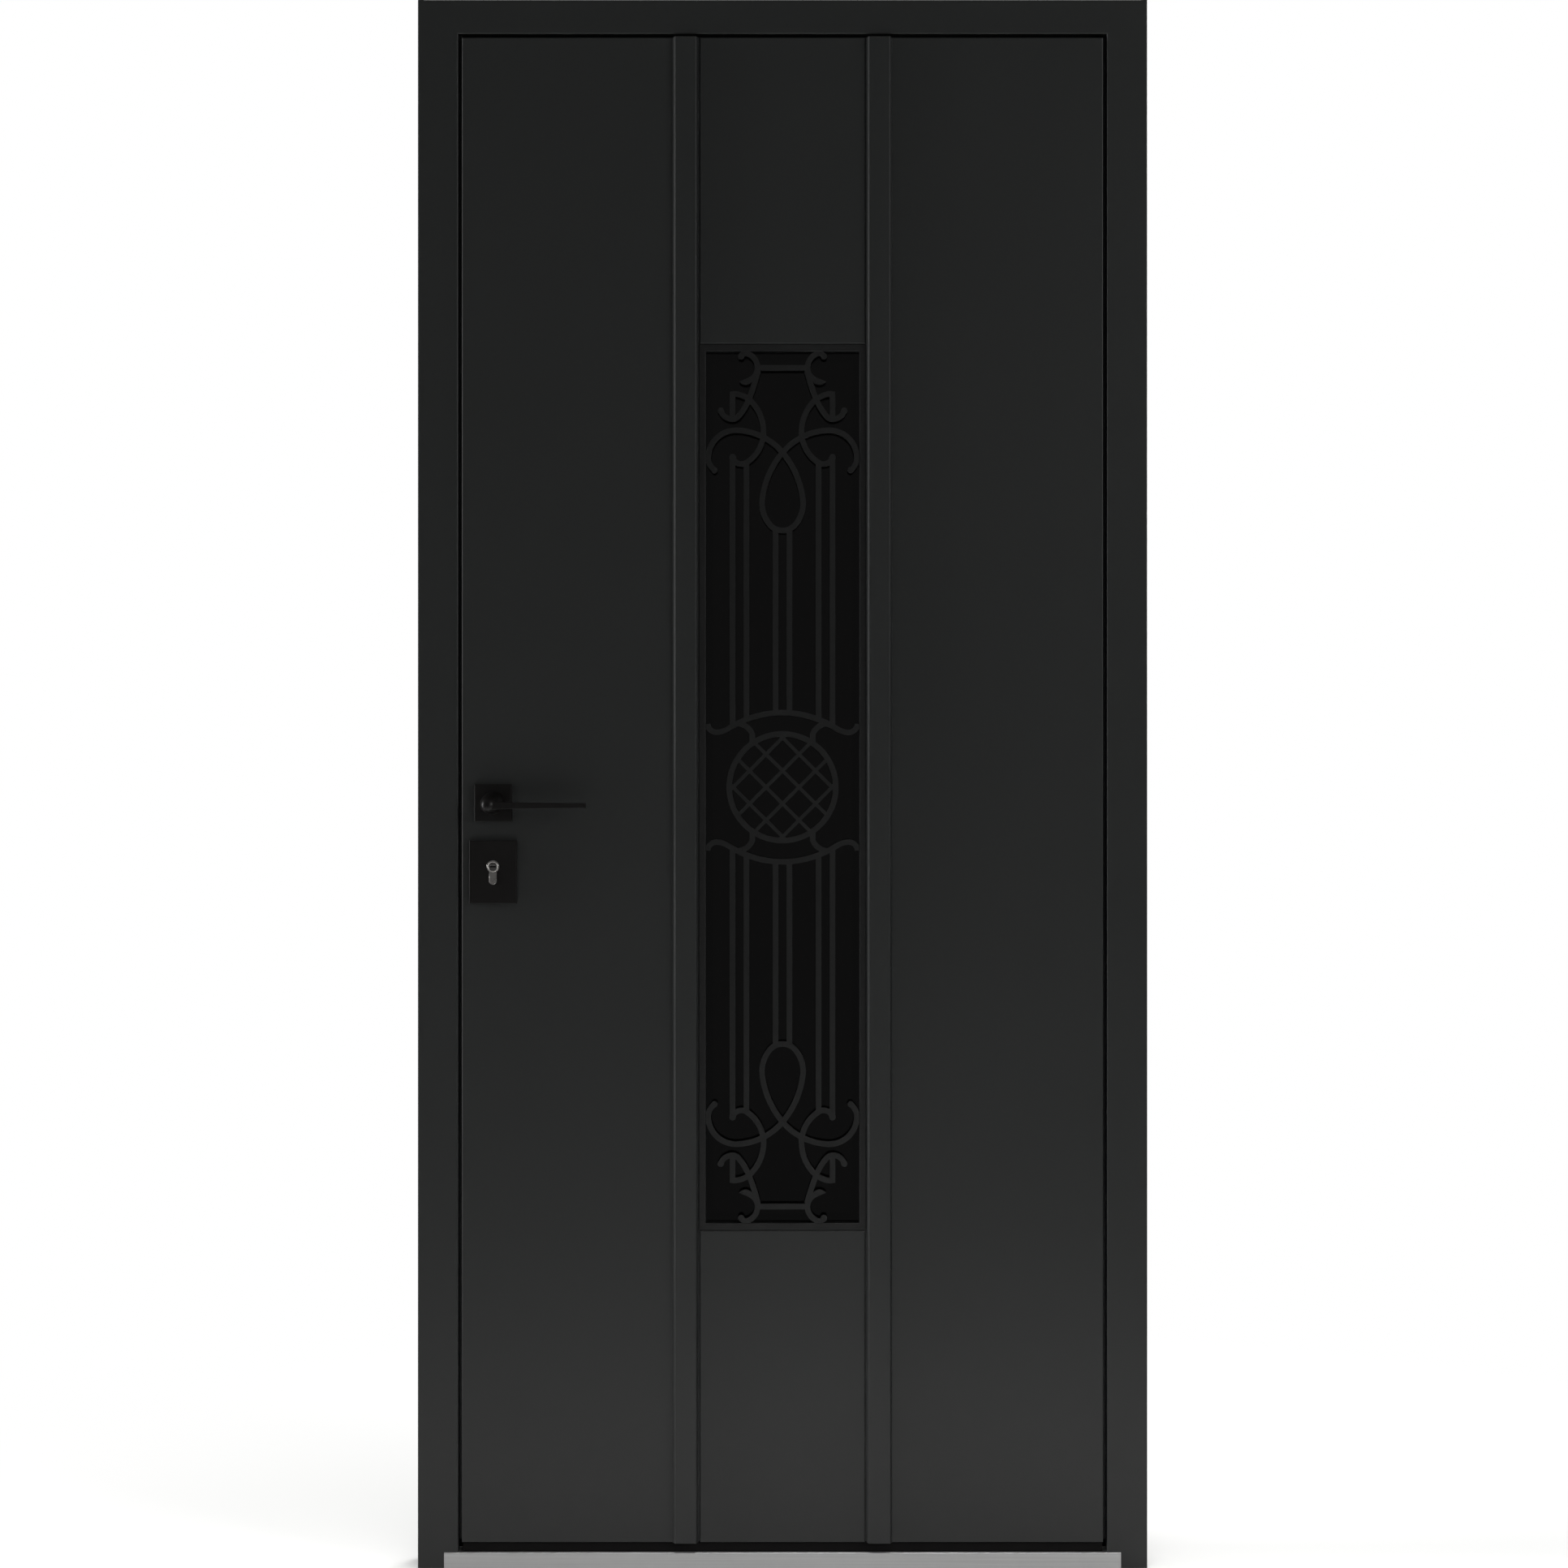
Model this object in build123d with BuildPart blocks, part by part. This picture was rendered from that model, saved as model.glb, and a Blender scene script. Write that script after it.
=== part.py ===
"""Steel front door: pressed frame, stepped leaf, scroll grille over the glass, lever handles.

Millimetres, Z up, floor at Z = 0. The outside faces -Y, the inside faces +Y.
"""
import os

from build123d import *

os.makedirs("parts", exist_ok=True)

# Frame
frame_width = 1000
frame_height = 2150
frame_depth = 70
jamb_face = 55.5
head_face = 47
frame_sheet = 2
bend = 2
lip_depth = 17
rebate = 12
back_return = 18
half_width = frame_width / 2
front = -frame_depth / 2
back = frame_depth / 2
lip_x = half_width - jamb_face
lip_z = frame_height - head_face
lip_back = front + lip_depth
reveal_x = lip_x + rebate
reveal_z = lip_z + rebate

# Threshold
threshold_lap = 19.3
threshold_height = 22
threshold_nose = 1
threshold_wall = 3
threshold_half = lip_x + threshold_lap
sill_round = 2
tread_groove = 2
tread_pitch = 6
tread_count = 7
tread_mid_y = 10

# Leaf
moving_gap = 5
leaf_sheet = 2
fold = 1.5
outer_half = lip_x - moving_gap
outer_top = lip_z - moving_gap
inner_half = reveal_x - moving_gap
inner_top = reveal_z - moving_gap
leaf_bottom = 35.5
shoulder_y = lip_back + moving_gap
core_front = front + leaf_sheet
core_back = back - leaf_sheet

# Glass bay and grille
bay_mid_z = 1070.5
bay_half_width = 115.2
bay_half_height = 607.7
border_width = 10
grille_thickness = 8
grille_set_back = 1
grille_front = front + grille_set_back
grille_back = grille_front + grille_thickness
sight_half_width = bay_half_width - border_width
sight_half_height = bay_half_height - border_width
groove = 1.7
fit_gap = 0.3

# Raised strips beside the bay
strip_width = 35
strip_proud = 7.5
strip_flank = 3
strip_mid_x = bay_half_width + strip_width / 2

# Glass unit behind the grille
stop_web = 6
pane_clearance = 2
gasket_thickness = 2
pane_thickness = 6
pane_space = 14
spacer_width = 8
gasket_width = 8
bead_width = 18
pane_half_width = bay_half_width - pane_clearance
pane_half_height = bay_half_height - pane_clearance
gasket_front = grille_back + stop_web
pane_front = gasket_front + gasket_thickness
spacer_front = pane_front + pane_thickness
inner_pane_front = spacer_front + pane_space
bead_front = inner_pane_front + pane_thickness

# Lock and handles
lock_backset = 55.5
lock_x = lock_backset - inner_half
spindle_z = 1049
lock_centres = 87
cylinder_z = spindle_z - lock_centres
lock_pocket_width = 30
lock_pocket_margin = 30
spindle_side = 8
spindle_hole_radius = 6.5
rose_side = 51
rose_thickness = 9
plate_width = 65
plate_height = 86
plate_thickness = 10
plate_drop = 7.5
plate_mid_z = cylinder_z - plate_drop
plate_edge = 0.5
cylinder_radius = 8.5
stem_width = 10
stem_drop = 19.5
cylinder_proud = 1.5
key_slot_width = 8
key_slot_height = 2.4
key_slot_depth = 6
hub_radius = 15.5
hub_shoulder_radius = 13
hub_nose_radius = 7.5
hub_barrel = 30
hub_shoulder = 36
hub_length = 40
running_gap = 0.4
spindle_grip = 20
grip_length = 128.5
grip_height = 10.5
grip_tip_height = 6.4
grip_depth = 20
grip_drop = 3.5
grip_set_back = 3
tip_round = 4

# Hinges
hinge_x = (reveal_x + inner_half) / 2
hinge_stand_off = 12
hinge_y = back + hinge_stand_off
hinge_inset = 225
lowest_hinge = leaf_bottom + hinge_inset
highest_hinge = inner_top - hinge_inset
hinge_heights = {
    "bottom": lowest_hinge,
    "middle": (lowest_hinge + highest_hinge) / 2,
    "top": highest_hinge,
}
knuckle_radius = 10
knuckle_length = 50
knuckle_cap = 5
pin_radius = 5
pin_gap = 0.2
knuckle_gap = 1
flap_width = 34
flap_thickness = 3

# Lock edge
faceplate_y = (shoulder_y + back) / 2
faceplate_z = (spindle_z + cylinder_z) / 2
faceplate_thickness = 3
faceplate_width = 22
faceplate_margin = 76.5
faceplate_height = lock_centres + 2 * faceplate_margin
faceplate_corner = 4
bolt_length = 22
bolt_thickness = 14
bolt_height = 32
strike_gap = 2

# Anchor holes through the jamb reveals
anchor_radius = 5.25
anchor_y = 10
anchor_foot = 250
anchor_top_inset = 220
anchor_strike_gap = 75.5
anchor_mid_spacing = 560
anchor_below_strike = faceplate_z - faceplate_height / 2 - anchor_strike_gap
anchor_heights = (
    anchor_foot,
    anchor_below_strike,
    anchor_below_strike + anchor_mid_spacing,
    frame_height - anchor_top_inset,
)

# Sweep under the leaf
sweep_drop = 13
sweep_thickness = 8
sweep_round = 2
sweep_end_gap = 1
front_blade_set_back = 4
rear_blade_set_back = 31


def front_plane(y, z=0):
    """Sketch plane facing outside at depth y, its origin at height z."""
    return Plane(origin=(0, y, z), x_dir=(1, 0, 0), z_dir=(0, -1, 0))


def flow(start, heading, *points):
    """Chain of arcs, each tangent to the one before, through the points."""
    for point in points:
        arc = TangentArc(start, point, tangent=heading)
        start = arc @ 1
        heading = arc % 1


def mitre_plane(side):
    """Mitre between a jamb and the head, facing up and inwards from the corner of the lip."""
    return Plane(origin=(side * lip_x, 0, lip_z), x_dir=(0, 1, 0), z_dir=(-side, 0, 1))


def cylinder_outline(gap, mode=Mode.ADD):
    """Profile of the key cylinder, a round barrel over a narrow stem, with a gap all round."""
    with Locations((lock_x, cylinder_z)):
        Circle(cylinder_radius + gap, mode=mode)
    with Locations((lock_x, cylinder_z - stem_drop / 2)):
        Rectangle(stem_width + 2 * gap, stem_drop, mode=mode)
    with Locations((lock_x, cylinder_z - stem_drop)):
        Circle(stem_width / 2 + gap, mode=mode)


def lock_openings():
    """Square cut-outs in the sheet for the spindle and the key cylinder, under the plates."""
    with Locations((lock_x, spindle_z)):
        Rectangle(2 * spindle_hole_radius, 2 * spindle_hole_radius)
    with Locations((lock_x, cylinder_z - stem_drop / 2)):
        Rectangle(2 * (cylinder_radius + fit_gap), stem_drop + 2 * (cylinder_radius + fit_gap))


# Jambs: open-backed pressed profiles with a lip, a rebate and returns to the wall
for side, name in ((-1, "lock_jamb"), (1, "hinge_jamb")):
    with BuildPart() as jamb:
        with BuildSketch():
            with BuildLine():
                Polyline(
                    (side * half_width, front),
                    (side * lip_x, front),
                    (side * lip_x, lip_back),
                    (side * reveal_x, lip_back),
                    (side * reveal_x, back),
                    (side * half_width, back),
                    close=True,
                )
            make_face()
            offset(amount=-frame_sheet, kind=Kind.INTERSECTION, mode=Mode.SUBTRACT)
            with Locations((side * half_width, 0)):
                Rectangle(3 * frame_sheet, frame_depth - 2 * back_return, mode=Mode.SUBTRACT)
        extrude(amount=frame_height)
        face_edges = jamb.edges().filter_by(Axis.Z).filter_by_position(Axis.Y, front, front)
        fillet(face_edges, bend)
        split(bisect_by=mitre_plane(side), keep=Keep.BOTTOM)
        # Foot notched over the end of the threshold
        Box(2 * threshold_half, 2 * frame_depth, 2 * threshold_height, mode=Mode.SUBTRACT)
        with Locations(*[Plane((side * reveal_x, anchor_y, z), z_dir=(side, 0, 0)) for z in anchor_heights]):
            Cylinder(anchor_radius, 4 * frame_sheet, mode=Mode.SUBTRACT)
        if side < 0:
            with Locations((-reveal_x - frame_sheet / 2, faceplate_y, faceplate_z)):
                Box(2 * frame_sheet, faceplate_width, faceplate_height, mode=Mode.SUBTRACT)
    jamb.part.label = name
    export_step(jamb.part, f"parts/{name}.step")

# Head: the same pressed profile, mitred to the jambs
with BuildPart() as head:
    with BuildSketch(Plane.YZ.offset(-half_width)):
        with BuildLine():
            Polyline(
                (front, frame_height),
                (front, lip_z),
                (lip_back, lip_z),
                (lip_back, reveal_z),
                (back, reveal_z),
                (back, frame_height),
                close=True,
            )
        make_face()
        offset(amount=-frame_sheet, kind=Kind.INTERSECTION, mode=Mode.SUBTRACT)
        with Locations((0, frame_height)):
            Rectangle(frame_depth - 2 * back_return, 3 * frame_sheet, mode=Mode.SUBTRACT)
    extrude(amount=frame_width)
    fillet(head.edges().filter_by(Axis.X).filter_by_position(Axis.Y, front, front), bend)
    for side in (-1, 1):
        split(bisect_by=mitre_plane(side), keep=Keep.TOP)
head.part.label = "head"
export_step(head.part, "parts/head.step")

# Threshold: extruded aluminium sill with two chambers and a grooved top
threshold_depth = frame_depth + threshold_nose
chamber_depth = (threshold_depth - 3 * threshold_wall) / 2
with BuildPart() as threshold:
    with BuildSketch(Plane.YZ.offset(-threshold_half)) as sill_profile:
        with Locations((-threshold_nose / 2, threshold_height / 2)):
            Rectangle(threshold_depth, threshold_height)
            fillet(sill_profile.vertices().group_by(Axis.Y)[-1], sill_round)
            with GridLocations(chamber_depth + threshold_wall, 0, 2, 1):
                Rectangle(chamber_depth, threshold_height - 2 * threshold_wall, mode=Mode.SUBTRACT)
        with Locations((tread_mid_y, threshold_height)):
            with GridLocations(tread_pitch, 0, tread_count, 1):
                Rectangle(tread_groove, tread_groove, mode=Mode.SUBTRACT)
    extrude(amount=2 * threshold_half)
threshold.part.label = "threshold"
export_step(threshold.part, "parts/threshold.step")

# Seals: rubber strips on the rebate, just clear of the leaf shoulder
seal_gap = 0.5
seal_thickness = moving_gap - seal_gap
seal_width = 9
seal_round = 2
seal_foot = threshold_height + seal_gap
for side, name in ((-1, "lock_side_seal"), (1, "hinge_side_seal")):
    with BuildPart() as side_seal:
        with BuildSketch(Plane.XY.offset(seal_foot)) as seal_profile:
            with Locations((side * (reveal_x - seal_width / 2), lip_back + seal_thickness / 2)):
                Rectangle(seal_width, seal_thickness)
            fillet(seal_profile.vertices().group_by(Axis.Y)[-1], seal_round)
        extrude(amount=reveal_z - seal_foot)
    side_seal.part.label = name
    export_step(side_seal.part, f"parts/{name}.step")

with BuildPart() as head_seal:
    with BuildSketch(Plane.YZ.offset(-reveal_x + seal_width)) as seal_profile:
        with Locations((lip_back + seal_thickness / 2, reveal_z - seal_width / 2)):
            Rectangle(seal_thickness, seal_width)
        fillet(seal_profile.vertices().group_by(Axis.X)[-1], seal_round)
    extrude(amount=2 * (reveal_x - seal_width))
head_seal.part.label = "head_seal"
export_step(head_seal.part, "parts/head_seal.step")

# Inner pan: folded sheet with the inside face, the leaf edges and the shoulder
pan_height = inner_top - leaf_bottom
pan_mid_z = leaf_bottom + pan_height / 2
outer_height = outer_top - leaf_bottom
outer_mid_z = leaf_bottom + outer_height / 2
with BuildPart() as inner_pan:
    with BuildSketch(front_plane(back, pan_mid_z)):
        Rectangle(2 * inner_half, pan_height)
    extrude(amount=back - shoulder_y)
    fillet(inner_pan.edges().filter_by_position(Axis.Y, back, back), fold)
    with BuildSketch(front_plane(core_back, pan_mid_z)):
        Rectangle(2 * (inner_half - leaf_sheet), pan_height - 2 * leaf_sheet)
    extrude(amount=core_back - shoulder_y - leaf_sheet, mode=Mode.SUBTRACT)
    with BuildSketch(front_plane(shoulder_y + leaf_sheet, outer_mid_z)):
        Rectangle(2 * (outer_half - leaf_sheet), outer_height - 2 * leaf_sheet)
    extrude(amount=leaf_sheet, mode=Mode.SUBTRACT)
    with BuildSketch(front_plane(back, bay_mid_z)):
        Rectangle(2 * bay_half_width, 2 * bay_half_height)
    extrude(amount=leaf_sheet, mode=Mode.SUBTRACT)
    with BuildSketch(front_plane(back)):
        lock_openings()
    extrude(amount=leaf_sheet, mode=Mode.SUBTRACT)
    with Locations((-inner_half, faceplate_y, faceplate_z)):
        Box(3 * leaf_sheet, faceplate_width, faceplate_height, mode=Mode.SUBTRACT)
inner_pan.part.label = "inner_pan"
export_step(inner_pan.part, "parts/inner_pan.step")

# Core: insulation filling the pan and the outer tier, with the seat of the glass unit
with BuildPart() as leaf_core:
    with BuildSketch(front_plane(core_back, pan_mid_z)):
        Rectangle(2 * (inner_half - leaf_sheet), pan_height - 2 * leaf_sheet)
    extrude(amount=core_back - shoulder_y - leaf_sheet)
    with BuildSketch(front_plane(shoulder_y + leaf_sheet, outer_mid_z)):
        Rectangle(2 * (outer_half - leaf_sheet), outer_height - 2 * leaf_sheet)
    extrude(amount=shoulder_y + leaf_sheet - core_front)
    with BuildSketch(front_plane(grille_back, bay_mid_z)):
        Rectangle(2 * bay_half_width, 2 * bay_half_height)
    extrude(amount=frame_depth, mode=Mode.SUBTRACT)
    with BuildSketch(front_plane(gasket_front, bay_mid_z)):
        Rectangle(2 * bay_half_width, 2 * bay_half_height)
    extrude(amount=-frame_depth, mode=Mode.SUBTRACT)
    with BuildSketch(front_plane(back, bay_mid_z)):
        Rectangle(2 * sight_half_width, 2 * sight_half_height)
    extrude(amount=frame_depth, mode=Mode.SUBTRACT)
    with BuildSketch(front_plane(back)):
        with Locations((lock_x, faceplate_z)):
            Rectangle(lock_pocket_width, lock_centres + 2 * lock_pocket_margin)
    extrude(amount=frame_depth, mode=Mode.SUBTRACT)
    with Locations((-inner_half, faceplate_y, faceplate_z)):
        Box(2 * faceplate_thickness, faceplate_width, faceplate_height, mode=Mode.SUBTRACT)
    with Locations((-inner_half, faceplate_y, spindle_z), (-inner_half, faceplate_y, cylinder_z)):
        Box(2 * bolt_length, bolt_thickness, bolt_height, mode=Mode.SUBTRACT)
leaf_core.part.label = "leaf_core"
export_step(leaf_core.part, "parts/leaf_core.step")

# Side panels: sheet trays folded round the outer tier, their inner edges under the strips
panel_width = outer_half - bay_half_width
for side, name in ((-1, "lock_side_panel"), (1, "hinge_side_panel")):
    with BuildPart() as side_panel:
        panel_mid_x = side * (bay_half_width + panel_width / 2)
        with BuildSketch(front_plane(shoulder_y, outer_mid_z)):
            with Locations((panel_mid_x, 0)):
                Rectangle(panel_width, outer_height)
        extrude(amount=shoulder_y - front)
        bends = side_panel.edges().filter_by_position(Axis.Y, front, front)
        fillet(bends.sort_by(Axis.X)[1:] if side > 0 else bends.sort_by(Axis.X)[:-1], fold)
        with BuildSketch(front_plane(shoulder_y, outer_mid_z)):
            with Locations((panel_mid_x - side * leaf_sheet, 0)):
                Rectangle(panel_width, outer_height - 2 * leaf_sheet)
        extrude(amount=shoulder_y - core_front, mode=Mode.SUBTRACT)
        if side < 0:
            with BuildSketch(front_plane(core_front)):
                lock_openings()
            extrude(amount=leaf_sheet, mode=Mode.SUBTRACT)
    side_panel.part.label = name
    export_step(side_panel.part, f"parts/{name}.step")

# Centre panels above and below the glass, folded at the outer end only
bay_top = bay_mid_z + bay_half_height + fit_gap
bay_foot = bay_mid_z - bay_half_height - fit_gap
centre_spans = {
    "panel_above_glass": (bay_top, outer_top, 1),
    "panel_below_glass": (leaf_bottom, bay_foot, -1),
}
for name, (low, high, fold_end) in centre_spans.items():
    with BuildPart() as centre_panel:
        with BuildSketch(front_plane(shoulder_y, (low + high) / 2)):
            Rectangle(2 * (bay_half_width - groove), high - low)
        extrude(amount=shoulder_y - front)
        fillet(centre_panel.edges().filter_by_position(Axis.Y, front, front), fold)
        with BuildSketch(front_plane(shoulder_y, (low + high) / 2 - fold_end * leaf_sheet)):
            Rectangle(2 * bay_half_width, high - low)
        extrude(amount=shoulder_y - core_front, mode=Mode.SUBTRACT)
    centre_panel.part.label = name
    export_step(centre_panel.part, f"parts/{name}.step")

# Raised strips: flat-topped bars with sloping flanks over the panel joints
for side, name in ((-1, "lock_side_strip"), (1, "hinge_side_strip")):
    with BuildPart() as strip:
        with BuildSketch(Plane.XY.offset(leaf_bottom)) as strip_profile:
            with BuildLine():
                Polyline(
                    (side * strip_mid_x - strip_width / 2, front),
                    (side * strip_mid_x + strip_width / 2, front),
                    (side * strip_mid_x + strip_width / 2 - strip_flank, front - strip_proud),
                    (side * strip_mid_x - strip_width / 2 + strip_flank, front - strip_proud),
                    close=True,
                )
            make_face()
            fillet(strip_profile.vertices().group_by(Axis.Y)[0], fold)
        extrude(amount=outer_height)
    strip.part.label = name
    export_step(strip.part, f"parts/{name}.step")

# Grille border: flat bar frame that holds the scrollwork in the glass bay
border_edge = 0.6
with BuildPart() as grille_border:
    with BuildSketch(front_plane(grille_back, bay_mid_z)):
        Rectangle(2 * (bay_half_width - fit_gap), 2 * (bay_half_height - fit_gap))
        Rectangle(2 * sight_half_width, 2 * sight_half_height, mode=Mode.SUBTRACT)
    extrude(amount=grille_thickness)
    chamfer(grille_border.edges().filter_by_position(Axis.Y, grille_front, grille_front), border_edge)
grille_border.part.label = "grille_border"
export_step(grille_border.part, "parts/grille_border.step")

# Scroll grille: a quarter drawn in flat bar and mirrored both ways, with a ring and a lattice.
# The arch and the feet of the bars are measured from the middle of the glass, and the
# scrollwork from its end.
bar_width = 7.6
lattice_bar = 4.8
lattice_pitch = 32
lattice_count = 4
ring_radius = 73.2
ball_radius = 4.5
ball_sides = 12
centre_bar_x = 9.5
inner_bar_x = 49.5
outer_bar_x = 68.5
bars = ((centre_bar_x, 101, -243.7), (inner_bar_x, 91, -151.7), (outer_bar_x, 83, -145.7))
arch_top = (0, 102.3)
arch_bend = (sight_half_width - 31.2, 80.4)
arch_dip = (sight_half_width - 16.2, 75.2)
arch_end = (sight_half_width - 2.2, 87)
bracket_head = (60, 87)
bracket_slope = (-1, -0.1)
bracket_bend = (41.5, 73)
bracket_foot = (41.5, 62)
loop_top = (0, -245.7)
loop_shoulder = (-17.6, -237.5)
loop_side = (-27.9, -202.7)
strand_crossing = (0, -138.7)
strand_dip = (62.9, -108.2)
strand_side = (sight_half_width - 3.3, -145.7)
strand_end = (sight_half_width - 11.7, -162.9)
bow_side = (26, -110.2)
bow_crown = (inner_bar_x, -152.7)
bow_end = (outer_bar_x, -145.1)
bow_turn = (42.4, -69.2)
bow_foot = (outer_bar_x, -58.3)
corner_top = (outer_bar_x, -55.2)
corner_foot = (outer_bar_x, -93)
hook_crown = (69, -93)
hook_end = (84.7, -81.5)
hook_shoulder = (60.5, -89.2)
hook_side = (46.5, -66.7)
hook_foot = (33.6, -26.9)
link_z = -22.7
scroll_side = (34.2, link_z)
scroll_foot = (47.8, -3.2)
scroll_end = (56.6, -6.9)
scroll_head = (43.5, -38.5)
leaf_point = (59.7, -41.4)
leaf_crown = (51, -46.1)
leaf_hollow = (52, -38.4)
leaf_root = ((41.5, -41.5), (45.5, -35.3))
right = (1, 0)
left = (-1, 0)
up = (0, 1)
down = (0, -1)
with BuildPart() as scroll_grille:
    with BuildSketch(front_plane(grille_back, bay_mid_z)):
        # Arch over the ring, its end hooked to the border
        with BuildLine():
            flow(arch_top, right, arch_bend, arch_dip, arch_end)
        trace(line_width=bar_width)
        # Short bracket from the arch down to the ring
        with BuildLine():
            flow(bracket_head, bracket_slope, bracket_bend)
            Line(bracket_bend, bracket_foot)
        trace(line_width=bar_width)
        # Centre bar, inner side bar and outer side bar, from the arch to the scrollwork
        for x, foot, end in bars:
            with BuildLine():
                Line((x, foot), (x, sight_half_height + end))
            trace(line_width=bar_width)
        mirror(about=Plane.YZ)
        Rectangle(2 * sight_half_width, 2 * sight_half_height, mode=Mode.INTERSECT)
    extrude(amount=grille_thickness)
    with BuildSketch(front_plane(grille_back, bay_mid_z + sight_half_height)):
        # Loop strand: over the loop, across the middle and round to its ball end
        with BuildLine():
            flow(
                loop_top,
                left,
                loop_shoulder,
                loop_side,
                strand_crossing,
                strand_dip,
                strand_side,
                strand_end,
            )
        trace(line_width=bar_width)
        # Bow from the side bars round to the corner under the hook
        with BuildLine():
            flow(bow_side, down, bow_crown, bow_end)
        trace(line_width=bar_width)
        with BuildLine():
            flow(bow_side, up, bow_turn, bow_foot)
        trace(line_width=bar_width)
        with BuildLine():
            Line(corner_top, corner_foot)
        trace(line_width=bar_width)
        # Hook running into the end scroll
        with BuildLine():
            flow(hook_crown, right, hook_end)
        trace(line_width=bar_width)
        with BuildLine():
            flow(hook_crown, left, hook_shoulder, hook_side, hook_foot)
        trace(line_width=bar_width)
        # End scroll with a ball at one end and a leaf point at the other
        with BuildLine():
            flow(scroll_side, up, scroll_foot, scroll_end)
        trace(line_width=bar_width)
        with BuildLine():
            flow(scroll_side, down, scroll_head)
        trace(line_width=bar_width)
        with BuildLine():
            ThreePointArc(leaf_root[0], leaf_crown, leaf_point)
            ThreePointArc(leaf_point, leaf_hollow, leaf_root[1])
            Line(leaf_root[1], leaf_root[0])
        make_face()
        # Straight link between the two end scrolls
        with BuildLine():
            Line((0, link_z), scroll_side)
        trace(line_width=bar_width)
        with Locations(strand_end, bow_end, hook_end, scroll_end):
            RegularPolygon(ball_radius, ball_sides)
        mirror(about=Plane.YZ)
        with Locations((0, -sight_half_height)):
            Rectangle(2 * sight_half_width, 2 * sight_half_height, mode=Mode.INTERSECT)
    extrude(amount=grille_thickness)
    mirror(about=Plane.XY.offset(bay_mid_z))
    # Lattice inside the ring
    with BuildSketch(front_plane(grille_back, bay_mid_z)):
        for turn in (45, -45):
            with Locations(Rotation(0, 0, turn)):
                with GridLocations(0, lattice_pitch, 1, lattice_count):
                    Rectangle(2 * ring_radius, lattice_bar)
        Circle(ring_radius, mode=Mode.INTERSECT)
    extrude(amount=grille_thickness)
    with BuildSketch(front_plane(grille_back, bay_mid_z)):
        Circle(ring_radius + bar_width / 2)
        Circle(ring_radius - bar_width / 2, mode=Mode.SUBTRACT)
    extrude(amount=grille_thickness)
scroll_grille.part.label = "scroll_grille"
export_step(scroll_grille.part, "parts/scroll_grille.step")

# Glass unit: gasket, outer pane, spacer and inner pane
ring_pieces = {
    "glazing_gasket": (gasket_front, gasket_thickness, gasket_width),
    "pane_spacer": (spacer_front, pane_space, spacer_width),
}
for name, (y, thickness, width) in ring_pieces.items():
    with BuildPart() as glass_ring:
        with BuildSketch(front_plane(y, bay_mid_z)):
            Rectangle(2 * pane_half_width, 2 * pane_half_height)
            Rectangle(2 * (pane_half_width - width), 2 * (pane_half_height - width), mode=Mode.SUBTRACT)
        extrude(amount=-thickness)
    glass_ring.part.label = name
    export_step(glass_ring.part, f"parts/{name}.step")

for name, y in (("outer_pane", pane_front), ("inner_pane", inner_pane_front)):
    with BuildPart() as pane:
        with BuildSketch(front_plane(y, bay_mid_z)):
            Rectangle(2 * pane_half_width, 2 * pane_half_height)
        extrude(amount=-pane_thickness)
    pane.part.label = name
    export_step(pane.part, f"parts/{name}.step")

# Beads: bevelled bars that hold the glass from inside
bead_half_width = bay_half_width - fit_gap
bead_half_height = bay_half_height - fit_gap
bead_bevel = 6
bead_bars = {
    "side_beads": (bead_half_width - bead_width / 2, 0, bead_width, 2 * bead_half_height),
    "end_beads": (0, bead_half_height - bead_width / 2, 2 * (bead_half_width - bead_width), bead_width),
}
for name, (x, z, width, height) in bead_bars.items():
    with BuildPart() as beads:
        with BuildSketch(front_plane(bead_front, bay_mid_z)):
            with Locations((x, z), (-x, -z)):
                Rectangle(width, height)
        extrude(amount=bead_front - back)
        inside_edges = beads.edges().filter_by_position(Axis.Y, back, back)
        if name == "side_beads":
            chamfer(inside_edges.filter_by(Axis.Z).sort_by(Axis.X)[1:3], bead_bevel)
        else:
            chamfer(inside_edges.filter_by(Axis.X).sort_by(Axis.Z)[1:3], bead_bevel)
    beads.part.label = name
    export_step(beads.part, f"parts/{name}.step")

# Sweep: two rubber blades under the leaf, one as long as the outer tier and one as the inner tier
sweep_blades = ((front_blade_set_back, outer_half), (rear_blade_set_back, inner_half))
with BuildPart() as bottom_sweep:
    for set_back, tier_half in sweep_blades:
        sweep_half = tier_half - sweep_end_gap
        with BuildSketch(Plane.YZ.offset(-sweep_half)) as blade_profile:
            with Locations((front + set_back + sweep_thickness / 2, leaf_bottom - sweep_drop / 2)):
                Rectangle(sweep_thickness, sweep_drop)
            fillet(blade_profile.vertices().group_by(Axis.Z)[0], sweep_round)
        extrude(amount=2 * sweep_half)
bottom_sweep.part.label = "bottom_sweep"
export_step(bottom_sweep.part, "parts/bottom_sweep.step")

# Lock: faceplate let into the leaf edge, latch and bolt drawn back flush with it
with BuildPart() as faceplate:
    with Locations((-inner_half + faceplate_thickness / 2, faceplate_y, faceplate_z)):
        Box(faceplate_thickness, faceplate_width, faceplate_height)
    fillet(faceplate.edges().filter_by(Axis.X), faceplate_corner)
    with Locations((-inner_half, faceplate_y, spindle_z), (-inner_half, faceplate_y, cylinder_z)):
        Box(3 * faceplate_thickness, bolt_thickness, bolt_height, mode=Mode.SUBTRACT)
faceplate.part.label = "lock_faceplate"
export_step(faceplate.part, "parts/lock_faceplate.step")

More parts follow.
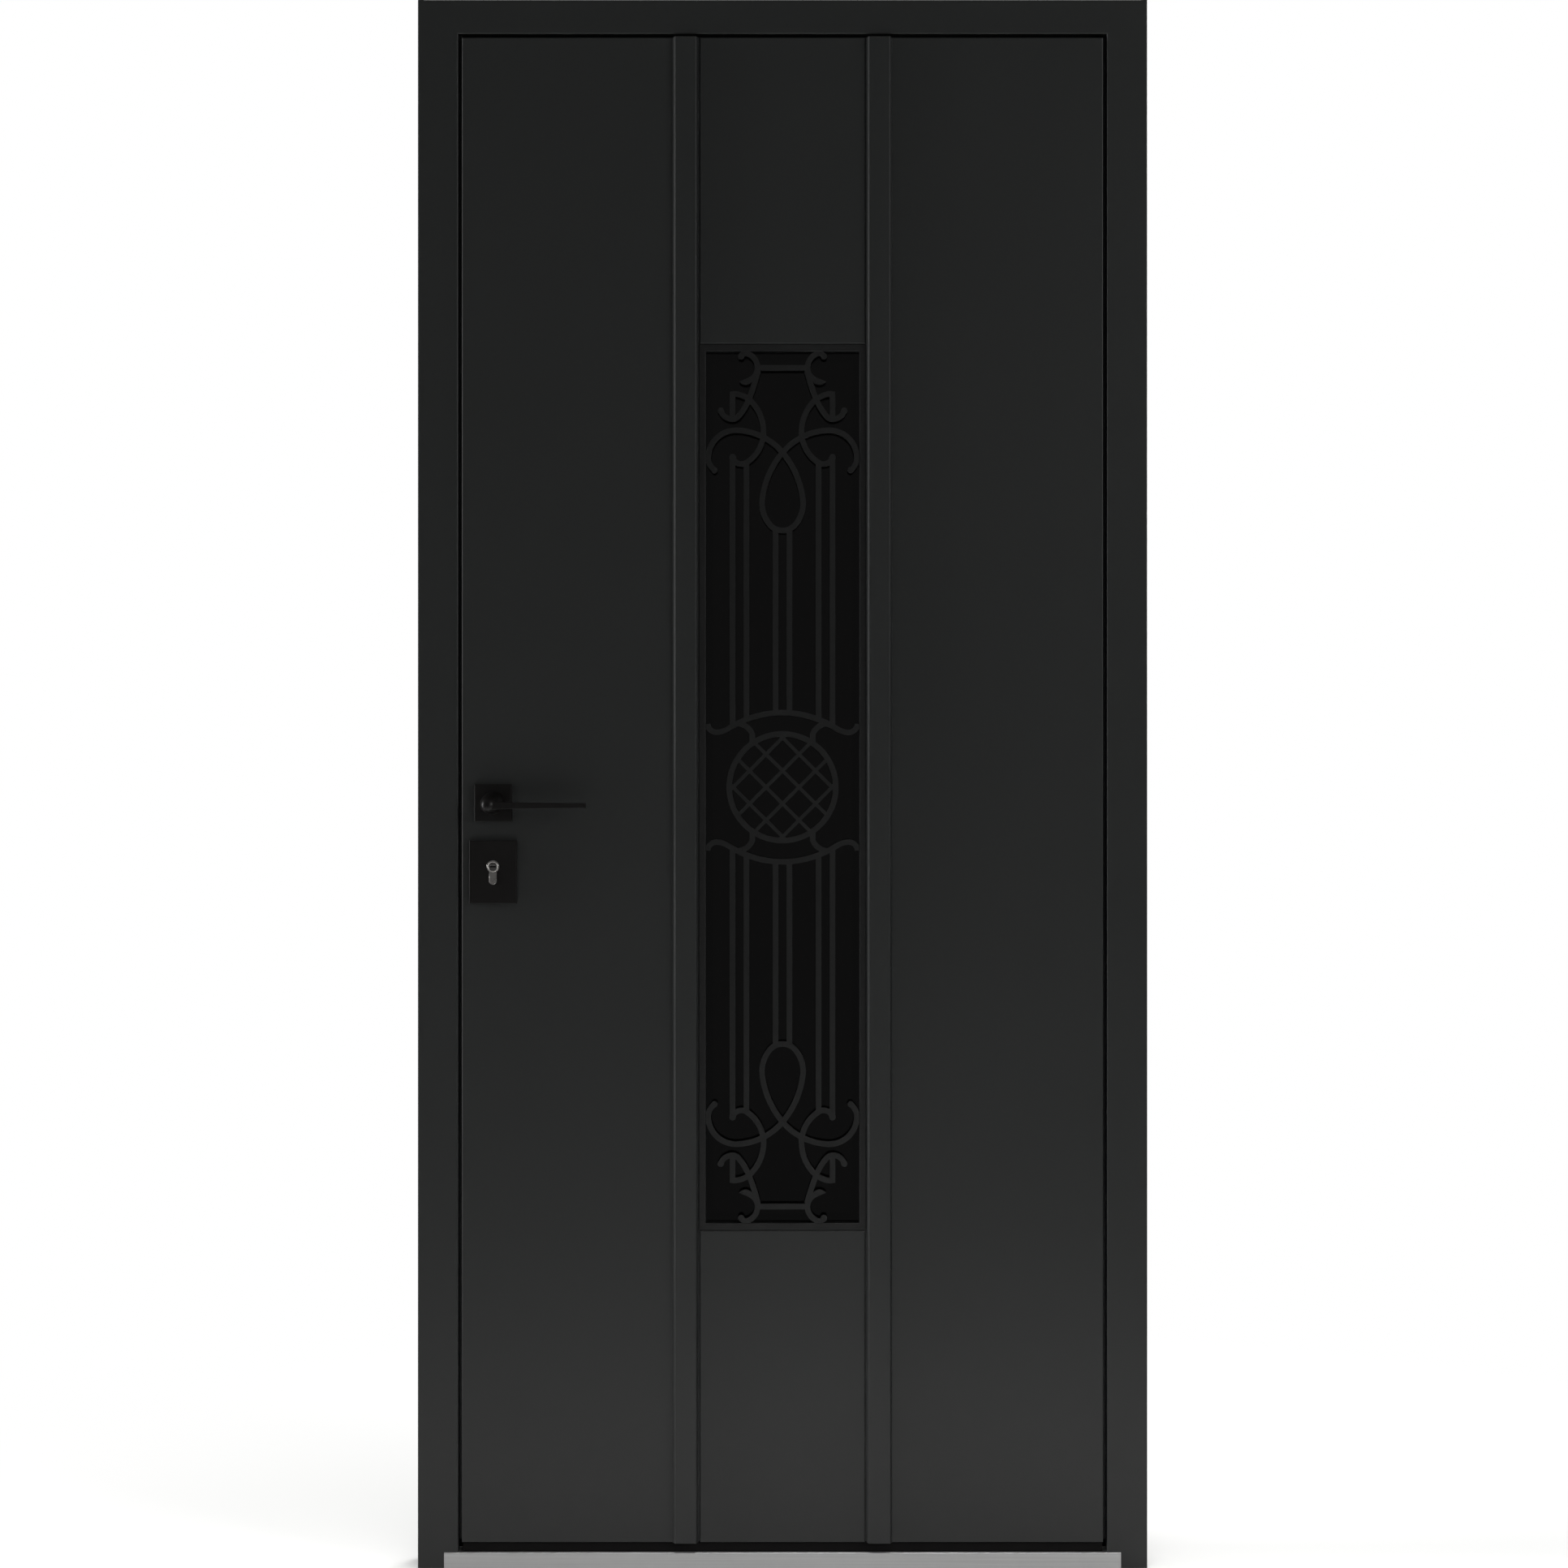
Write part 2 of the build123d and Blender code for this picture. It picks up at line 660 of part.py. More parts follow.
with BuildPart() as bolts:
    with Locations(
        (-inner_half + bolt_length / 2, faceplate_y, spindle_z),
        (-inner_half + bolt_length / 2, faceplate_y, cylinder_z),
    ):
        Box(bolt_length, bolt_thickness - 2 * fit_gap, bolt_height - 2 * fit_gap)
bolts.part.label = "latch_and_bolt"
export_step(bolts.part, "parts/latch_and_bolt.step")

# Strike plate set flush in the lock jamb reveal
with BuildPart() as strike_plate:
    with Locations((-reveal_x - frame_sheet / 2, faceplate_y, faceplate_z)):
        Box(frame_sheet, faceplate_width, faceplate_height)
    fillet(strike_plate.edges().filter_by(Axis.X), faceplate_corner)
    with Locations((-reveal_x, faceplate_y, spindle_z), (-reveal_x, faceplate_y, cylinder_z)):
        Box(3 * frame_sheet, bolt_thickness + strike_gap, bolt_height + 2 * strike_gap, mode=Mode.SUBTRACT)
strike_plate.part.label = "strike_plate"
export_step(strike_plate.part, "parts/strike_plate.step")

# Roses: square plates round the spindle
with BuildPart() as outside_rose:
    with BuildSketch(front_plane(front)):
        with Locations((lock_x, spindle_z)):
            Rectangle(rose_side, rose_side)
            Circle(spindle_hole_radius, mode=Mode.SUBTRACT)
    extrude(amount=rose_thickness)
    chamfer(outside_rose.faces().sort_by(Axis.Y)[0].outer_wire().edges(), plate_edge)
outside_rose.part.label = "outside_rose"
export_step(outside_rose.part, "parts/outside_rose.step")

with BuildPart() as inside_rose:
    mirror(outside_rose.part, about=Plane.XZ)
inside_rose.part.label = "inside_rose"
export_step(inside_rose.part, "parts/inside_rose.step")

# Levers: domed hub on the spindle with a flat tapering grip
hub_base = front - rose_thickness - running_gap
hub_front = hub_base - hub_length
grip_back = hub_front + grip_set_back + grip_depth
with BuildPart() as outside_lever:
    with BuildSketch(Plane((lock_x, hub_base, spindle_z))):
        with BuildLine():
            Polyline(
                (0, 0),
                (hub_radius, 0),
                (hub_radius, -hub_barrel),
                (hub_shoulder_radius, -hub_shoulder),
                (hub_nose_radius, -hub_length),
                (0, -hub_length),
                close=True,
            )
        make_face()
    revolve(axis=Axis((lock_x, hub_base, spindle_z), (0, 1, 0)))
    with BuildSketch(front_plane(grip_back, spindle_z - grip_drop)):
        with BuildLine():
            Polyline(
                (lock_x, -grip_height / 2),
                (lock_x + grip_length, -grip_tip_height / 2),
                (lock_x + grip_length, grip_tip_height / 2),
                (lock_x, grip_height / 2),
                close=True,
            )
        make_face()
    extrude(amount=grip_depth)
    tip = outside_lever.faces().sort_by(Axis.X)[-1]
    fillet(tip.edges().filter_by(Axis.Z), tip_round)
    # Square socket for the spindle
    with BuildSketch(front_plane(hub_base)):
        with Locations((lock_x, spindle_z)):
            Rectangle(spindle_side, spindle_side)
    extrude(amount=spindle_grip, mode=Mode.SUBTRACT)
outside_lever.part.label = "outside_lever"
export_step(outside_lever.part, "parts/outside_lever.step")

with BuildPart() as inside_lever:
    mirror(outside_lever.part, about=Plane.XZ)
inside_lever.part.label = "inside_lever"
export_step(inside_lever.part, "parts/inside_lever.step")

with BuildPart() as spindle:
    with BuildSketch(front_plane(-hub_base + spindle_grip)):
        with Locations((lock_x, spindle_z)):
            Rectangle(spindle_side, spindle_side)
    extrude(amount=2 * (spindle_grip - hub_base))
spindle.part.label = "spindle"
export_step(spindle.part, "parts/spindle.step")

# Escutcheons: thick plates round the key cylinder
with BuildPart() as outside_escutcheon:
    with BuildSketch(front_plane(front)):
        with Locations((lock_x, plate_mid_z)):
            Rectangle(plate_width, plate_height)
        cylinder_outline(fit_gap, mode=Mode.SUBTRACT)
    extrude(amount=plate_thickness)
    chamfer(outside_escutcheon.faces().sort_by(Axis.Y)[0].outer_wire().edges(), plate_edge)
outside_escutcheon.part.label = "outside_escutcheon"
export_step(outside_escutcheon.part, "parts/outside_escutcheon.step")

with BuildPart() as inside_escutcheon:
    mirror(outside_escutcheon.part, about=Plane.XZ)
inside_escutcheon.part.label = "inside_escutcheon"
export_step(inside_escutcheon.part, "parts/inside_escutcheon.step")

# Key cylinder: profile body through the leaf with a key slot at each end
cylinder_end = back + plate_thickness + cylinder_proud
with BuildPart() as key_cylinder:
    with BuildSketch(front_plane(cylinder_end)):
        cylinder_outline(0)
    extrude(amount=2 * cylinder_end)
    with Locations((lock_x, -cylinder_end, cylinder_z), (lock_x, cylinder_end, cylinder_z)):
        Box(key_slot_width, 2 * key_slot_depth, key_slot_height, mode=Mode.SUBTRACT)
key_cylinder.part.label = "key_cylinder"
export_step(key_cylinder.part, "parts/key_cylinder.step")

# Barrel hinges on the inside: the lower half with its pin on the jamb, the upper on the leaf
pin_length = knuckle_length - knuckle_cap
for name, z in hinge_heights.items():
    with BuildPart() as jamb_half:
        with BuildSketch(Plane.XY.offset(z - knuckle_length)):
            with Locations((hinge_x, hinge_y)):
                Circle(knuckle_radius)
            with Locations((hinge_x + knuckle_radius / 2, (back + hinge_y) / 2)):
                Rectangle(knuckle_radius, hinge_stand_off)
            with Locations((hinge_x + flap_width / 2, back + flap_thickness / 2)):
                Rectangle(flap_width, flap_thickness)
        extrude(amount=knuckle_length)
        with BuildSketch(Plane.XY.offset(z)):
            with Locations((hinge_x, hinge_y)):
                Circle(pin_radius)
        extrude(amount=pin_length)
    jamb_half.part.label = f"{name}_hinge_jamb_half"
    export_step(jamb_half.part, f"parts/{name}_hinge_jamb_half.step")

    # The upper half is capped over its blind bore
    with BuildPart() as leaf_half:
        with BuildSketch(Plane.XY.offset(z + knuckle_gap)):
            with Locations((hinge_x, hinge_y)):
                Circle(knuckle_radius)
            with Locations((hinge_x - knuckle_radius / 2, (back + hinge_y) / 2)):
                Rectangle(knuckle_radius, hinge_stand_off)
            with Locations((hinge_x - flap_width / 2, back + flap_thickness / 2)):
                Rectangle(flap_width, flap_thickness)
        extrude(amount=knuckle_length)
        with BuildSketch(Plane.XY.offset(z + knuckle_gap)):
            with Locations((hinge_x, hinge_y)):
                Circle(pin_radius + pin_gap)
        extrude(amount=pin_length, mode=Mode.SUBTRACT)
    leaf_half.part.label = f"{name}_hinge_leaf_half"
    export_step(leaf_half.part, f"parts/{name}_hinge_leaf_half.step")
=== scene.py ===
import math

import bmesh
import bpy
from mathutils import Matrix, Vector


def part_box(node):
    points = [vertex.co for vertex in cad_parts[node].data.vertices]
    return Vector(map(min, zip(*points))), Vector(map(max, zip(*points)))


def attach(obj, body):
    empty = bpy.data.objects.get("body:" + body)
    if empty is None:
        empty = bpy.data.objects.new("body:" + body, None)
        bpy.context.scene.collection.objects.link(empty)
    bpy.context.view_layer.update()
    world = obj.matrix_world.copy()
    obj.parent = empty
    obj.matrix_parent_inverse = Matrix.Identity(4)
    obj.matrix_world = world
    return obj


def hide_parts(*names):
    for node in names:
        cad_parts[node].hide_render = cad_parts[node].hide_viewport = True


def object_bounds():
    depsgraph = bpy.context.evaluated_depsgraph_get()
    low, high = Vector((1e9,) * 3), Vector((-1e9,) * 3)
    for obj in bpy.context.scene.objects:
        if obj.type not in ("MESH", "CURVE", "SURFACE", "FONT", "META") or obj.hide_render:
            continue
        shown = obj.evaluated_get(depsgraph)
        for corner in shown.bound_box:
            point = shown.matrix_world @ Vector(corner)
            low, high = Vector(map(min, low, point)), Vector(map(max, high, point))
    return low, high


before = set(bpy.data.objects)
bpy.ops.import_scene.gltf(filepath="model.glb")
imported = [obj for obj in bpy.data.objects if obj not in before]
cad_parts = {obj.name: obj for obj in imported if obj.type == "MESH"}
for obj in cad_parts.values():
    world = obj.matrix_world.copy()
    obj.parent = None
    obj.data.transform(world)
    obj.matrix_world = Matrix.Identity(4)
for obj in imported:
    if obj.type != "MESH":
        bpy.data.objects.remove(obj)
cad_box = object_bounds()

# Frame: two jambs and a head of pressed steel sheet, mitred and welded at the corners.
# All the sheet metal outside has one finish, a fine-textured anthracite powder coat
# baked on after welding, a little paler near the ground, partly from dust and partly from
# painted light that stands in for light thrown up by the floor.


def coat_group():
    """Shader group for a baked powder coat: its grain, its cloudy tone, and its dust with painted
    light paling it near the ground.
    """
    group = bpy.data.node_groups.new("powder_coat_surface", "ShaderNodeTree")
    for socket, value in (("Grain Scale", 900.0), ("Peel Scale", 260.0), ("Dust Reach", 0.5)):
        entry = group.interface.new_socket(socket, in_out="INPUT", socket_type="NodeSocketFloat")
        entry.default_value = value
    for socket in ("Height", "Tone", "Dust And Painted Light"):
        group.interface.new_socket(socket, in_out="OUTPUT", socket_type="NodeSocketFloat")
    nodes = group.nodes
    link = group.links.new
    given = nodes.new("NodeGroupInput")
    result = nodes.new("NodeGroupOutput")
    place = nodes.new("ShaderNodeTexCoord")

    grain = nodes.new("ShaderNodeTexNoise")
    grain.inputs["Detail"].default_value = 2.0
    link(place.outputs["Object"], grain.inputs["Vector"])
    link(given.outputs["Grain Scale"], grain.inputs["Scale"])
    peel = nodes.new("ShaderNodeTexVoronoi")
    peel.feature = "SMOOTH_F1"
    link(place.outputs["Object"], peel.inputs["Vector"])
    link(given.outputs["Peel Scale"], peel.inputs["Scale"])
    height = nodes.new("ShaderNodeMix")
    height.inputs["Factor"].default_value = 0.4
    link(grain.outputs["Fac"], height.inputs["A"])
    link(peel.outputs["Distance"], height.inputs["B"])
    link(height.outputs["Result"], result.inputs["Height"])

    cloud = nodes.new("ShaderNodeTexNoise")
    cloud.inputs["Scale"].default_value = 3.5
    cloud.inputs["Detail"].default_value = 4.0
    link(place.outputs["Object"], cloud.inputs["Vector"])
    link(cloud.outputs["Fac"], result.inputs["Tone"])

    # Mask that pales the coat towards the ground: partly dust, partly painted light from the floor.
    parts = nodes.new("ShaderNodeSeparateXYZ")
    link(place.outputs["Object"], parts.inputs["Vector"])
    low = nodes.new("ShaderNodeMapRange")
    low.interpolation_type = "SMOOTHSTEP"
    low.inputs["From Min"].default_value = 0.0
    low.inputs["To Min"].default_value = 1.0
    low.inputs["To Max"].default_value = 0.0
    link(parts.outputs["Z"], low.inputs["Value"])
    link(given.outputs["Dust Reach"], low.inputs["From Max"])
    speck = nodes.new("ShaderNodeTexNoise")
    speck.inputs["Scale"].default_value = 45.0
    speck.inputs["Detail"].default_value = 5.0
    link(place.outputs["Object"], speck.inputs["Vector"])
    film = nodes.new("ShaderNodeMapRange")
    film.inputs["To Min"].default_value = 0.4
    film.inputs["To Max"].default_value = 0.9
    link(speck.outputs["Fac"], film.inputs["Value"])
    dust_and_painted_light = nodes.new("ShaderNodeMath")
    dust_and_painted_light.operation = "MULTIPLY"
    link(low.outputs["Result"], dust_and_painted_light.inputs[0])
    link(film.outputs["Result"], dust_and_painted_light.inputs[1])
    link(dust_and_painted_light.outputs["Value"], result.inputs["Dust And Painted Light"])
    return group


powder_coat_surface = coat_group()


def plain_material(name, color, roughness, specular, metallic=0.0):
    """Material with one Principled shader. Returns the material and that shader."""
    material = bpy.data.materials.new(name)
    material.use_nodes = True
    shader = material.node_tree.nodes["Principled BSDF"]
    shader.inputs["Base Color"].default_value = (*color, 1.0)
    shader.inputs["Roughness"].default_value = roughness
    shader.inputs["Specular IOR Level"].default_value = specular
    shader.inputs["Metallic"].default_value = metallic
    return material, shader


def powder_coat(name, color, dust_and_painted_light_color, roughness, specular, relief):
    """Powder-coated sheet steel: grain in the bump, cloudy tone in the gloss, dust and painted light
    low down.
    """
    gloss_spread = 0.06
    material, shader = plain_material(name, color, roughness, specular)
    nodes = material.node_tree.nodes
    link = material.node_tree.links.new
    coat = nodes.new("ShaderNodeGroup")
    coat.node_tree = powder_coat_surface
    # Paler colour low down: partly dust, partly painted light.
    tint = nodes.new("ShaderNodeMix")
    tint.data_type = "RGBA"
    tint.inputs["A"].default_value = (*color, 1.0)
    tint.inputs["B"].default_value = (*dust_and_painted_light_color, 1.0)
    link(coat.outputs["Dust And Painted Light"], tint.inputs["Factor"])
    link(tint.outputs["Result"], shader.inputs["Base Color"])
    gloss = nodes.new("ShaderNodeMapRange")
    gloss.inputs["To Min"].default_value = roughness - gloss_spread
    gloss.inputs["To Max"].default_value = roughness + gloss_spread
    link(coat.outputs["Tone"], gloss.inputs["Value"])
    link(gloss.outputs["Result"], shader.inputs["Roughness"])
    bump = nodes.new("ShaderNodeBump")
    bump.inputs["Strength"].default_value = 0.4
    bump.inputs["Distance"].default_value = relief
    link(coat.outputs["Height"], bump.inputs["Height"])
    link(bump.outputs["Normal"], shader.inputs["Normal"])
    return material


def finish_node(name, material):
    """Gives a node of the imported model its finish."""
    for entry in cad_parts[name].material_slots:
        entry.material = material


anthracite_coat = powder_coat(
    "anthracite_coat",
    color=(0.0112, 0.0120, 0.0117),
    # Paler colour near the ground: partly dust, partly painted light.
    dust_and_painted_light_color=(0.0175, 0.0176, 0.0174),
    roughness=0.4,
    specular=0.22,
    relief=0.00012,
)
for name in ("lock_jamb", "hinge_jamb", "head"):
    finish_node(name, anthracite_coat)

# Threshold: one aluminium extrusion laid across the foot of the frame, with a ribbed tread.
# It is natural anodised, satin grey with fine draw lines along its length.


def drawn_lines_group():
    """Shader group for metal drawn or brushed along one axis: its lines and its handling marks."""
    group = bpy.data.node_groups.new("drawn_lines", "ShaderNodeTree")
    entry = group.interface.new_socket("Stretch", in_out="INPUT", socket_type="NodeSocketVector")
    entry.default_value = (6.0, 900.0, 900.0)
    for socket in ("Lines", "Marks"):
        group.interface.new_socket(socket, in_out="OUTPUT", socket_type="NodeSocketFloat")
    nodes = group.nodes
    link = group.links.new
    given = nodes.new("NodeGroupInput")
    result = nodes.new("NodeGroupOutput")
    place = nodes.new("ShaderNodeTexCoord")
    stretch = nodes.new("ShaderNodeVectorMath")
    stretch.operation = "MULTIPLY"
    link(place.outputs["Object"], stretch.inputs[0])
    link(given.outputs["Stretch"], stretch.inputs[1])
    lines = nodes.new("ShaderNodeTexNoise")
    lines.inputs["Scale"].default_value = 1.0
    lines.inputs["Detail"].default_value = 3.0
    link(stretch.outputs["Vector"], lines.inputs["Vector"])
    link(lines.outputs["Fac"], result.inputs["Lines"])
    marks = nodes.new("ShaderNodeTexNoise")
    marks.inputs["Scale"].default_value = 60.0
    marks.inputs["Detail"].default_value = 4.0
    link(place.outputs["Object"], marks.inputs["Vector"])
    link(marks.outputs["Fac"], result.inputs["Marks"])
    return group


drawn_lines = drawn_lines_group()


def drawn_metal(name, color, roughness, along, relief):
    """Bare metal with fine lines along one axis in its tone and bump, and marks in its gloss."""
    along_scale = 6.0
    across_scale = 900.0
    tone_spread = 0.14
    gloss_spread = 0.08
    material, shader = plain_material(name, color, roughness, specular=0.5, metallic=1.0)
    nodes = material.node_tree.nodes
    link = material.node_tree.links.new
    surface = nodes.new("ShaderNodeGroup")
    surface.node_tree = drawn_lines
    surface.inputs["Stretch"].default_value = [
        along_scale if axis == along else across_scale for axis in "XYZ"
    ]
    tone = nodes.new("ShaderNodeMix")
    tone.data_type = "RGBA"
    tone.inputs["A"].default_value = (*[(1.0 - tone_spread) * value for value in color], 1.0)
    tone.inputs["B"].default_value = (*[(1.0 + tone_spread) * value for value in color], 1.0)
    link(surface.outputs["Lines"], tone.inputs["Factor"])
    link(tone.outputs["Result"], shader.inputs["Base Color"])
    gloss = nodes.new("ShaderNodeMapRange")
    gloss.inputs["To Min"].default_value = roughness - gloss_spread
    gloss.inputs["To Max"].default_value = roughness + gloss_spread
    link(surface.outputs["Marks"], gloss.inputs["Value"])
    link(gloss.outputs["Result"], shader.inputs["Roughness"])
    bump = nodes.new("ShaderNodeBump")
    bump.inputs["Strength"].default_value = 0.2
    bump.inputs["Distance"].default_value = relief
    link(surface.outputs["Lines"], bump.inputs["Height"])
    link(bump.outputs["Normal"], shader.inputs["Normal"])
    return material


anodised_aluminium = drawn_metal(
    "anodised_aluminium", color=(0.41, 0.41, 0.41), roughness=0.45, along="X", relief=0.00005
)
finish_node("threshold", anodised_aluminium)

# Seals: extruded rubber strips pushed into the rebate of the frame, and the two blades under
# the leaf. The rubber is matt black with a faint bloom.


def soft_rubber(name, color):
    """Matt black rubber with a patchy grey bloom and a fine moulded grain."""
    bloom_gain = 2.0
    material, shader = plain_material(name, color, roughness=0.8, specular=0.08)
    nodes = material.node_tree.nodes
    link = material.node_tree.links.new
    place = nodes.new("ShaderNodeTexCoord")
    bloom = nodes.new("ShaderNodeTexNoise")
    bloom.inputs["Scale"].default_value = 30.0
    bloom.inputs["Detail"].default_value = 6.0
    link(place.outputs["Object"], bloom.inputs["Vector"])
    tone = nodes.new("ShaderNodeMix")
    tone.data_type = "RGBA"
    tone.inputs["A"].default_value = (*color, 1.0)
    tone.inputs["B"].default_value = (*[bloom_gain * value for value in color], 1.0)
    link(bloom.outputs["Fac"], tone.inputs["Factor"])
    link(tone.outputs["Result"], shader.inputs["Base Color"])
    pores = nodes.new("ShaderNodeTexNoise")
    pores.inputs["Scale"].default_value = 1500.0
    link(place.outputs["Object"], pores.inputs["Vector"])
    bump = nodes.new("ShaderNodeBump")
    bump.inputs["Strength"].default_value = 0.3
    bump.inputs["Distance"].default_value = 0.0001
    link(pores.outputs["Fac"], bump.inputs["Height"])
    link(bump.outputs["Normal"], shader.inputs["Normal"])
    return material


black_rubber = soft_rubber("black_rubber", (0.0025, 0.0023, 0.0022))
for name in ("lock_side_seal", "hinge_side_seal", "head_seal", "bottom_sweep"):
    finish_node(name, black_rubber)

# Leaf: the inner pan, the outer trays, the two centre panels and the raised strips, all folded
# from steel sheet round the core and coated like the frame. The core shows only as the painted
# walls of the glass recess.
for name in (
    "inner_pan",
    "leaf_core",
    "lock_side_panel",
    "hinge_side_panel",
    "panel_above_glass",
    "panel_below_glass",
    "lock_side_strip",
    "hinge_side_strip",
):
    finish_node(name, anthracite_coat)

# Grille: scrollwork of flat steel bar welded into a border, coated a shade darker than the leaf.
# The cut edges of the bars are broken before coating, so they catch a thin line of light.


def softened(name, rounding, steps, body):
    """Copy of a node with its triangles merged and its outer corners rounded, in place of it."""
    merge_distance = 0.000002
    flat_angle = math.radians(1)
    corner_angle = math.radians(30)
    sharp_angle = math.radians(50)
    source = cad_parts[name]
    mesh = bpy.data.meshes.new(f"{name}_finished")
    shape = bmesh.new()
    shape.from_mesh(source.data)
    bmesh.ops.remove_doubles(shape, verts=shape.verts, dist=merge_distance)
    bmesh.ops.dissolve_limit(shape, angle_limit=flat_angle, verts=shape.verts, edges=shape.edges)
    corners = [
        edge
        for edge in shape.edges
        if edge.is_manifold and edge.is_convex and edge.calc_face_angle() > corner_angle
    ]
    bmesh.ops.bevel(
        shape,
        geom=corners,
        offset=rounding,
        offset_type="OFFSET",
        segments=steps,
        profile=0.5,
        affect="EDGES",
        clamp_overlap=True,
        material=-1,
    )
    bmesh.ops.triangulate(shape, faces=shape.faces)
    shape.to_mesh(mesh)
    shape.free()
    piece = bpy.data.objects.new(f"{name}_finished", mesh)
    bpy.context.collection.objects.link(piece)
    mesh.shade_smooth()
    mesh.set_sharp_from_angle(angle=sharp_angle)
    flat_faces = piece.modifiers.new("flat_faces", "WEIGHTED_NORMAL")
    flat_faces.keep_sharp = True
    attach(piece, body)
    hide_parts(name)
    return piece


grille_coat = powder_coat(
    "grille_coat",
    color=(0.0060, 0.0062, 0.0061),
    # Paler colour near the ground: partly dust, partly painted light.
    dust_and_painted_light_color=(0.009, 0.009, 0.009),
    roughness=0.45,
    specular=0.18,
    relief=0.0001,
)
for name in ("grille_border", "scroll_grille"):
    grille_piece = softened(name, rounding=0.0005, steps=2, body="leaf")
    grille_piece.data.materials.append(grille_coat)

# Glass: a sealed unit of two smoked panes on a dark spacer, bedded on a rubber gasket.
# Only faint wiping marks break the polish of the panes.
smoked_glass, glass_shader = plain_material(
    "smoked_glass", color=(0.02, 0.0185, 0.018), roughness=0.03, specular=0.5
)
glass_shader.inputs["Transmission Weight"].default_value = 1.0
glass_shader.inputs["IOR"].default_value = 1.45
glass_nodes = smoked_glass.node_tree.nodes
glass_link = smoked_glass.node_tree.links.new
glass_place = glass_nodes.new("ShaderNodeTexCoord")
wiping = glass_nodes.new("ShaderNodeTexNoise")
wiping.inputs["Scale"].default_value = 9.0
wiping.inputs["Detail"].default_value = 6.0
wiping.inputs["Distortion"].default_value = 1.5
glass_link(glass_place.outputs["Object"], wiping.inputs["Vector"])
polish = glass_nodes.new("ShaderNodeMapRange")
polish.inputs["From Min"].default_value = 0.45
polish.inputs["From Max"].default_value = 0.75
polish.inputs["To Min"].default_value = 0.015
polish.inputs["To Max"].default_value = 0.06
glass_link(wiping.outputs["Fac"], polish.inputs["Value"])
glass_link(polish.outputs["Result"], glass_shader.inputs["Roughness"])
for name in ("outer_pane", "inner_pane"):
    finish_node(name, smoked_glass)
for name in ("pane_spacer", "glazing_gasket"):
    finish_node(name, black_rubber)

# Beads: four bevelled steel bars that press the glass home from inside. They are clipped in
# and coated like the leaf.
for name in ("side_beads", "end_beads"):
    finish_node(name, anthracite_coat)

# Lock edge: faceplate, latch and bolt, and the strike plate in the jamb, of satin steel.
# Each plate is held by two low-headed screws with a hexagon socket.


def socket_screw(name, centre, outward, head_radius, proud, body):
    """Screw head with a bevelled rim and a hexagon socket, bedded in the plate that it holds."""
    sides = 24
    hexagon_side = math.radians(60)
    socket_radius = 0.55 * head_radius
    socket_depth = 0.9 * proud
    rim_bevel = 0.5 * proud
    bedded = 0.001
    sharp_angle = math.radians(40)
    shape = bmesh.new()
    bmesh.ops.create_circle(shape, cap_ends=True, segments=sides, radius=head_radius)
    top = list(shape.faces)[0]
    bmesh.ops.inset_region(
        shape,
        faces=[top],
        thickness=head_radius - socket_radius,
        use_boundary=True,
        use_even_offset=True,
    )
    for corner in top.verts:
        turn = math.atan2(corner.co.y, corner.co.x) % hexagon_side
        reach = socket_radius * math.cos(hexagon_side / 2) / math.cos(turn - hexagon_side / 2)
        corner.co = corner.co.normalized() * reach
    rim = [edge for edge in shape.edges if edge.is_boundary]
    wall = bmesh.ops.extrude_edge_only(shape, edges=rim)["geom"]
    wall_corners = [item for item in wall if isinstance(item, bmesh.types.BMVert)]
    bmesh.ops.translate(shape, verts=wall_corners, vec=(0.0, 0.0, -proud - bedded))
    foot = [edge for edge in shape.edges if edge.is_boundary]
    bmesh.ops.holes_fill(shape, edges=foot, sides=sides)
    sunk = bmesh.ops.extrude_discrete_faces(shape, faces=[top])["faces"][0]
    bmesh.ops.translate(shape, verts=sunk.verts, vec=(0.0, 0.0, -socket_depth))
    bmesh.ops.bevel(
        shape, geom=rim, offset=rim_bevel, segments=3, profile=0.5, affect="EDGES", material=-1
    )
    bmesh.ops.recalc_face_normals(shape, faces=shape.faces)
    turn = Vector((0.0, 0.0, 1.0)).rotation_difference(Vector(outward)).to_matrix().to_4x4()
    lift = Matrix.Translation(Vector(centre) + proud * Vector(outward))
    bmesh.ops.transform(shape, matrix=lift @ turn, verts=shape.verts)
    mesh = bpy.data.meshes.new(name)
    shape.to_mesh(mesh)
    shape.free()
    screw = bpy.data.objects.new(name, mesh)
    bpy.context.collection.objects.link(screw)
    mesh.shade_smooth()
    mesh.set_sharp_from_angle(angle=sharp_angle)
    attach(screw, body)
    return screw


satin_steel = drawn_metal(
    "satin_steel", color=(0.50, 0.49, 0.47), roughness=0.34, along="Z", relief=0.00003
)
for name, body in (("lock_faceplate", "leaf"), ("latch_and_bolt", "leaf"), ("strike_plate", "frame")):
    edge_piece = softened(name, rounding=0.0004, steps=2, body=body)
    edge_piece.data.materials.append(satin_steel)
screw_inset = 0.011
screw_radius = 0.0037
screw_proud = 0.0005
for name, body, facing in (("lock_faceplate", "leaf", -1.0), ("strike_plate", "frame", 1.0)):
    low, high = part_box(name)
    face_x = low.x if facing < 0.0 else high.x
    for end, z in (("lower", low.z + screw_inset), ("upper", high.z - screw_inset)):
        centre = (face_x, (low.y + high.y) / 2, z)
        outward = (facing, 0.0, 0.0)
        screw = socket_screw(f"{name}_{end}_screw", centre, outward, screw_radius, screw_proud, body)
        screw.data.materials.append(satin_steel)

